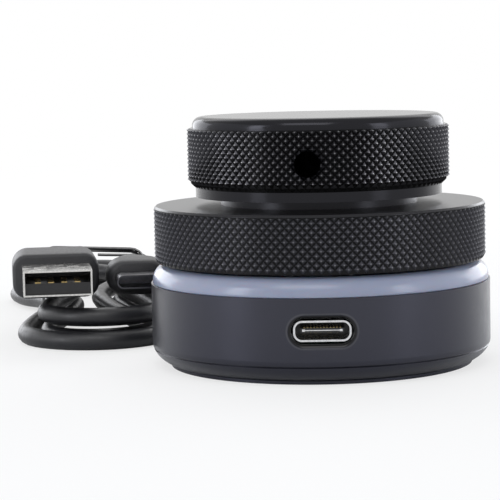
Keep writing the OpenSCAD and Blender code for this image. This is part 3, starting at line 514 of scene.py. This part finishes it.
def spline_through(points):
    """Catmull-Rom through the points, so that the lead is smooth between the rings."""
    made = []
    for i in range(len(points) - 1):
        a = points[max(i - 1, 0)]
        b, c = points[i], points[i + 1]
        d = points[min(i + 2, len(points) - 1)]
        for k in range(SPLINE_STEPS):
            t = k / SPLINE_STEPS
            made.append(0.5 * ((2 * b) + (c - a) * t + (2 * a - 5 * b + 4 * c - d) * t * t
                               + (3 * b - a - 3 * c + d) * t ** 3))
    return made + [points[-1]]


def make_lead():
    """The lead as a round tube, nowhere below the desk, and the line that it follows."""
    line = [in_hank((p.x, p.y, max(p.z, LEAD_D / 2))) for p in spline_through(hank_line())]
    data = bpy.data.curves.new("lead", "CURVE")
    data.dimensions = "3D"
    data.bevel_depth = LEAD_D / 2 * MM
    data.bevel_resolution = 6
    data.use_fill_caps = True
    spline = data.splines.new("POLY")
    spline.points.add(len(line) - 1)
    for point, place in zip(spline.points, line):
        point.co = (*place, 1)
    spline.use_smooth = True
    data.materials.append(JACKET)
    lead = bpy.data.objects.new("lead", data)
    bpy.context.scene.collection.objects.link(lead)
    return lead, line


lead, lead_line = make_lead()
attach(lead, "housing")
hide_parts("lead_hank")


# ------------------------------------------------------------------ overmoulds

def loft(name, rings, material, sharp_from=35):
    """Skins a list of rings of points, each with as many points, and caps both ends. Edges of
    sharp_from degrees and more stay sharp."""
    n = len(rings[0])
    last = (len(rings) - 1) * n
    faces = [(a + k, a + (k + 1) % n, a + n + (k + 1) % n, a + n + k)
             for a in range(0, last, n) for k in range(n)]
    faces += [tuple(reversed(range(n))), tuple(range(last, last + n))]
    mesh = bpy.data.meshes.new(name)
    mesh.from_pydata([tuple(p) for ring in rings for p in ring], [], faces)
    mesh.update()
    work = bmesh.new()
    work.from_mesh(mesh)
    bmesh.ops.recalc_face_normals(work, faces=work.faces)
    work.to_mesh(mesh)
    work.free()
    mesh.materials.append(material)
    obj = bpy.data.objects.new(name, mesh)
    bpy.context.scene.collection.objects.link(obj)
    for poly in mesh.polygons:
        poly.use_smooth = True
    mesh.set_sharp_from_angle(angle=math.radians(sharp_from))
    return obj


def rounded_box_ring(w, h, r):
    """Outline of a rectangle w by h with corners of radius r, as (across, up) pairs."""
    steps = 8
    ring = []
    for cx, cy, start in ((1, 1, 0), (-1, 1, 90), (-1, -1, 180), (1, -1, 270)):
        for k in range(steps + 1):
            a = math.radians(start + 90 * k / steps)
            ring.append((cx * (w / 2 - r) + r * math.cos(a), cy * (h / 2 - r) + r * math.sin(a)))
    return ring


def along_plug(stations, side, z):
    """Rings of an overmould: each station is (x from the tail, width, height, corner radius). The
    corners never quite meet, so that no two points of a ring fall together."""
    apart = 1e-4
    rings = []
    for x, w, h, r in stations:
        outline = rounded_box_ring(w, h, min(r, w / 2, h / 2) - apart)
        rings.append([in_hank((TAIL + x, side + v, z + u)) for v, u in outline])
    return rings


def make_overmoulds():
    """Each plug's overmould, from the lead's side to the plug's: a relief, then the body."""
    w, h = A_SIZE
    cw, ch = A_COLLAR
    a0, a1 = A_RELIEF, A_RELIEF + A_BODY
    stations = [(0, 4.6, 4.2, 2.1), (0.35, cw - 1.2, ch - 1.2, 2.2), (0.8, cw - 0.3, ch - 0.4, 2.6),
                (1.4, cw, ch, 2.9), (a0 - 0.5, cw, ch, 2.9), (a0 - 0.2, cw, ch, 2.9),
                (a0, cw, ch, 2.9), (a0 + 0.05, 11.2, 5.6, 2.7), (a0 + 0.4, 12.6, 6.5, 3.0),
                (a0 + 1.2, 13.9, 7.2, 3.0), (a0 + 2.4, 15.0, 7.8, 3.0), (a0 + 3.4, w, h, 2.9),
                (a1 - 3.0, w, h, 2.6), (a1 - 0.9, w, h, 2.6), (a1 - 0.35, w - 0.25, h - 0.25, 2.5),
                (a1 - 0.05, w - 0.9, h - 0.9, 2.2), (a1, w - 1.3, h - 1.3, 2.0)]
    a = loft("usb_a_grip", along_plug(stations, A_SIDE, A_Z), OVERMOULD)
    w, h = C_SIZE
    c0, c1 = C_RELIEF, C_RELIEF + C_BODY
    stations = [(0, 4.3, 4.3, 2.1), (1.2, 4.5, 4.5, 2.2), (c0 - 0.6, 4.9, 4.9, 2.4),
                (c0, 5.2, 4.9, 2.4), (c0 + 0.8, 6.6, 5.05, 2.4), (c0 + 4, 8.2, 5.5, 2.6),
                (c0 + 8, 9.7, 6.0, 2.8), (c1 - 7, w, h, 3.0), (c1 - 2.0, w, h, 3.0),
                (c1 - 1.2, w - 0.15, h - 0.1, 3.0), (c1 - 0.5, w - 0.8, h - 0.4, 2.8),
                (c1 - 0.12, w - 1.9, h - 1.0, 2.6), (c1, w - 2.4, h - 1.4, 2.4)]
    c = loft("usb_c_grip", along_plug(stations, C_SIDE, C_Z), OVERMOULD)
    for obj, node in ((a, "usb_a_overmould"), (c, "usb_c_plug_overmould")):
        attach(obj, "housing")
        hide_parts(node)
    return a, c


a_grip, c_grip = make_overmoulds()


# ------------------------------------------------------------------ tie

def strand(m, x):
    """Where strand m crosses x. The first and the last are on their way up to the plugs."""
    if m == 0:
        return lead_in(x)
    if m == 2 * LOOPS:
        return lead_out(x)
    return loop_point(m / 2 + (-1 if m % 2 == 0 else 1) * along_run(x))


def round_strands(x, share, room):
    """A point of the outline round all strands at x, and the way out there. The share of the
    outline starts at the right side and runs over the top."""
    sides, r = 24, LEAD_D / 2 + room
    angles = [2 * math.pi * k / sides for k in range(sides)]
    centres = [strand(m, x) for m in range(int(2 * LOOPS) + 1)]
    spots = [(c.y + r * math.cos(a), c.z + r * math.sin(a)) for c in centres for a in angles]
    ring = [Vector(spots[i]) for i in geometry.convex_hull_2d(spots)]
    middle = sum(ring, Vector((0, 0))) / len(ring)
    ring.sort(key=lambda v: math.atan2(v.y - middle.y, v.x - middle.x) % (2 * math.pi))
    steps = [(b - a).length for a, b in zip(ring, ring[1:] + ring[:1])]
    left = (share % 1) * sum(steps)
    k = 0
    while left > steps[k]:
        left -= steps[k]
        k += 1
    a, b = ring[k], ring[(k + 1) % len(ring)]
    at, way = a.lerp(b, left / steps[k]), (b - a).normalized()
    return Vector((x, at.x, at.y)), Vector((0, way.y, -way.x))


def ribbon(name, line, outward, spins, width, thick, material):
    """A flat wire tie: a strip with a round wire down its middle, swept along a line."""
    sharp_from = 50
    profile = [(-0.5, 0), (-0.5, 0.55), (-0.35, 0.75), (-0.18, 0.8), (-0.1, 1),
               (0.1, 1), (0.18, 0.8), (0.35, 0.75), (0.5, 0.55), (0.5, 0)]
    rings = []
    for i, p in enumerate(line):
        ahead = (line[min(i + 1, len(line) - 1)] - line[max(i - 1, 0)]).normalized()
        up = (outward[i] - ahead * outward[i].dot(ahead)).normalized()
        up.rotate(Quaternion(ahead, spins[i]))
        across = ahead.cross(up)
        rings.append([in_hank(p + across * (a * width) + up * (b * thick)) for a, b in profile])
    return loft(name, rings, material, sharp_from)


def make_tie():
    """Two turns round the waist, twisted at the side, with one end left lying over the strands."""
    band_w, band_t = 1.3, 0.6 * TIE_T
    beside, shift_in = 0.72, 0.5                # half the way between turns, and turns it takes
    over_at, over_in, off_at, off_in = 0.95, 0.05, 1.3, 0.2     # turns in which it lies on itself
    clearance, twists = 1.1 * band_t, 2
    lift_by, drop_by = 0.2, 0.5                 # shares of the twist and of the free end
    twist_x, end_x, end_share = -4.4, -5.6, 0.21
    steps = 64                                  # in a turn, and in the twist and the end together
    parts = [2 * k / steps for k in range(1, steps // 2 + 1)]
    places = []                                 # x, share of the outline, lift, spin
    for k in range(2 * steps + 1):
        u = k / steps
        over = smooth((u - over_at) / over_in) * (1 - smooth((u - off_at) / off_in))
        places.append((beside - 2 * beside * smooth((u - 1) / shift_in), u, clearance * over, 0))
    for v in parts:
        places.append((-beside + (twist_x + beside) * v, 0.0,
                       band_w / 2 * smooth(v / lift_by), 2 * twists * math.pi * v))
    for v in parts:
        places.append((twist_x + (end_x - twist_x) * smooth(v), end_share * v,
                       band_w / 2 * (1 - smooth(v / drop_by)), 0))
    found = [round_strands(x, share, TIE_ROOM + lift) for x, share, lift, _ in places]
    return ribbon("tie_band", [p for p, _ in found], [way for _, way in found],
                  [spin for *_, spin in places], band_w, band_t, TIE)


tie = make_tie()
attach(tie, "housing")
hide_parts("lead_tie")


# ------------------------------------------------------------------ stage and light

def shown_to(tree, first, *others):
    """1 for rays of the kinds named, and 0 for the rest."""
    path = tree.nodes.new("ShaderNodeLightPath")
    shown = path.outputs[first]
    for ray in others:
        either = tree.nodes.new("ShaderNodeMath")
        either.operation = "MAXIMUM"
        tree.links.new(shown, either.inputs[0])
        tree.links.new(path.outputs[ray], either.inputs[1])
        shown = either.outputs[0]
    return shown


def make_stage():
    """A pale floor that runs into the white background, and keeps the object's shadow. Gloss
    mirrors the same, except near the object, where it mirrors only the lit floor itself."""
    half, sunk = 4.0, 0.02 * MM
    near, far, near_share = 0.12, 0.6, 0.68     # share of pure white up to near, and all from far
    lit_only, mirrored = 0.04, 0.12             # distances up to and from which gloss changes
    mesh = bpy.data.meshes.new("floor")
    corners = [(-half, -half, 0), (half, -half, 0), (half, half, 0), (-half, half, 0)]
    mesh.from_pydata(corners, [], [(0, 1, 2, 3)])
    floor = bpy.data.objects.new("floor", mesh)
    floor.location.z = -sunk
    bpy.context.scene.collection.objects.link(floor)
    s = Shade("floor_white")
    s.set(color=(0.9, 0.9, 0.9), rough=0.9, specular=0.1)
    white = s.add("ShaderNodeEmission")
    mixed = s.add("ShaderNodeMixShader")
    radius = s.radius()
    share = s.ramp(radius, near, far, near_share, 1.0)
    gloss = s.times(s.ramp(radius, lit_only, mirrored),
                    shown_to(s.tree, "Is Glossy Ray", "Is Transmission Ray"))
    seen = s.math("MAXIMUM", shown_to(s.tree, "Is Camera Ray"), gloss)
    s.link(s.times(share, seen), mixed.inputs[0])
    s.link(s.bsdf.outputs[0], mixed.inputs[1])
    s.link(white.outputs[0], mixed.inputs[2])
    s.link(mixed.outputs[0], s.out.inputs["Surface"])
    mesh.materials.append(s.mat)


def make_world():
    """White wherever it is seen or mirrored, and soft light from all round for the rest."""
    world = bpy.data.worlds.new("studio")
    world.use_nodes = True
    tree = world.node_tree
    tree.nodes.clear()
    out = tree.nodes.new("ShaderNodeOutputWorld")
    mixed = tree.nodes.new("ShaderNodeMixShader")
    shown = shown_to(tree, "Is Camera Ray", "Is Glossy Ray", "Is Transmission Ray")
    tree.links.new(shown, mixed.inputs[0])
    light, seen = ((0.93, 0.96, 1.0), 0.5), ((1, 1, 1), 1.0)
    for socket, (color, strength) in zip(mixed.inputs[1:], (light, seen)):
        background = tree.nodes.new("ShaderNodeBackground")
        background.inputs["Color"].default_value = (*color, 1)
        background.inputs["Strength"].default_value = strength
        tree.links.new(background.outputs[0], socket)
    tree.links.new(mixed.outputs[0], out.inputs["Surface"])
    bpy.context.scene.world = world


def make_softbox(name, place, size, radiance, color):
    """A rectangular softbox turned to the object, as bright all over as the given radiance, where
    1 is white."""
    target = Vector((0, 0, 0.02))
    data = bpy.data.lights.new(name, "AREA")
    data.shape = "RECTANGLE"
    data.size, data.size_y = size
    data.energy = radiance * math.pi * size[0] * size[1]
    data.color = color
    lamp = bpy.data.objects.new(name, data)
    lamp.location = place
    lamp.rotation_mode = "QUATERNION"
    lamp.rotation_quaternion = (target - Vector(place)).to_track_quat("-Z", "Y")
    lamp.visible_camera = False
    bpy.context.scene.collection.objects.link(lamp)


# Place, width and height, radiance, colour
COOL, PLAIN = (0.93, 0.95, 1.0), (1, 1, 1)
SOFTBOXES = {
    "left_box": ((-0.62, 0.0, 0.20), (0.8, 0.5), 0.5, COOL),
    "right_box": ((0.62, 0.0, 0.20), (0.8, 0.5), 0.5, COOL),
    "left_strip": ((-0.52, -0.34, 0.12), (0.16, 0.5), 4.6, COOL),
    "right_strip": ((0.52, -0.34, 0.12), (0.16, 0.5), 3.2, COOL),
    "left_back_box": ((-0.42, 0.50, 0.14), (0.5, 0.3), 2.6, COOL),
    "right_back_box": ((0.42, 0.50, 0.14), (0.5, 0.3), 2.6, COOL),
    "back_box": ((0.0, 0.5, 0.5), (0.8, 0.4), 1.4, PLAIN),
    "key_box": ((-0.1, -0.45, 0.55), (0.45, 0.3), 2.4, PLAIN),
}
make_stage()
make_world()
for name, settings in SOFTBOXES.items():
    make_softbox(name, *settings)

scene = bpy.context.scene
scene.view_settings.view_transform = "Standard"
